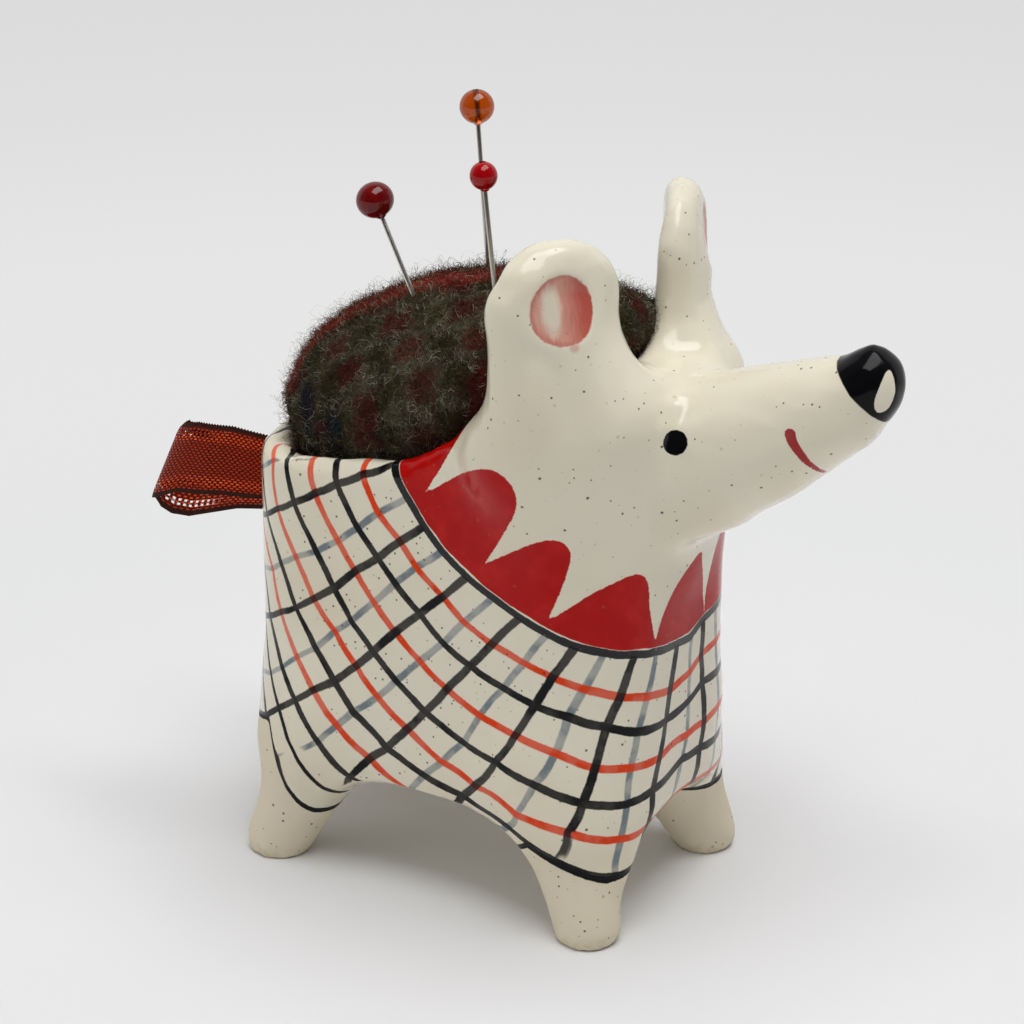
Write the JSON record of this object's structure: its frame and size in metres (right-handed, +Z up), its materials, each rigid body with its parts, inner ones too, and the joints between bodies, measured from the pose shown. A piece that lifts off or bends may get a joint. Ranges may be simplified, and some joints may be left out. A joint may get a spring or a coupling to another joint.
{
  "type": "animal pincushion",
  "caption": "Glazed ceramic animal on short legs with a snout and round ears, a stuffed wool cushion set into its back for holding pins, and a ribbon loop as its tail.",
  "frame": {"origin": "middle of the object's bounding box, on the surface that the feet stand on", "axes": "+X towards the nose, +Y towards the animal's left, +Z up"},
  "size_m": [0.117, 0.0488, 0.1048],
  "materials": {
    "stoneware": "clear glossy glaze over speckled cream clay with painted checks, feet unglazed",
    "wool_cloth": "fulled woven wool, hairy",
    "stuffing": "packed wool waste",
    "thread": "cotton sewing thread",
    "glue": "set clear glue",
    "ribbon": "sheer woven ribbon with bright threads and dark edges",
    "pin_steel": "bright drawn wire",
    "dark_red_glass": "polished, nearly opaque",
    "amber_glass": "polished, clear amber",
    "red_glass": "polished, opaque"
  },
  "bodies": {
    "body": {"ceramic_body": "stoneware", "cushion_cover": "wool_cloth", "cushion_filling": "stuffing", "gathering_thread": "thread", "cushion_glue": "glue", "ribbon_root": "ribbon", "ribbon_glue": "glue"},
    "tail": {"ribbon_loop": "ribbon"},
    "dark_red_pin": {"dark_red_pin_head": "dark_red_glass", "dark_red_pin_shaft": "pin_steel"},
    "amber_pin": {"amber_pin_head": "amber_glass", "amber_pin_shaft": "pin_steel"},
    "red_pin": {"red_pin_head": "red_glass", "red_pin_shaft": "pin_steel"}
  },
  "joints": [
    {"name": "tail_wag", "type": "hinge", "parent": "body", "child": "tail", "pos_m": [-0.03195, 0, 0.053], "axis": [0, 0, 1], "range_deg": [-35, 35], "stiffness_Nm_per_rad": 0.0002},
    {"name": "dark_red_pin_slide", "type": "slide", "parent": "body", "child": "dark_red_pin", "axis": [-0.4352, 0, 0.9003], "range_m": [-0.0082, 0.03]},
    {"name": "amber_pin_slide", "type": "slide", "parent": "body", "child": "amber_pin", "axis": [-0.0767, 0, 0.9971], "range_m": [-0.018, 0.027]},
    {"name": "red_pin_slide", "type": "slide", "parent": "body", "child": "red_pin", "axis": [-0.1097, 0, 0.994], "range_m": [-0.0107, 0.027]}
  ]
}
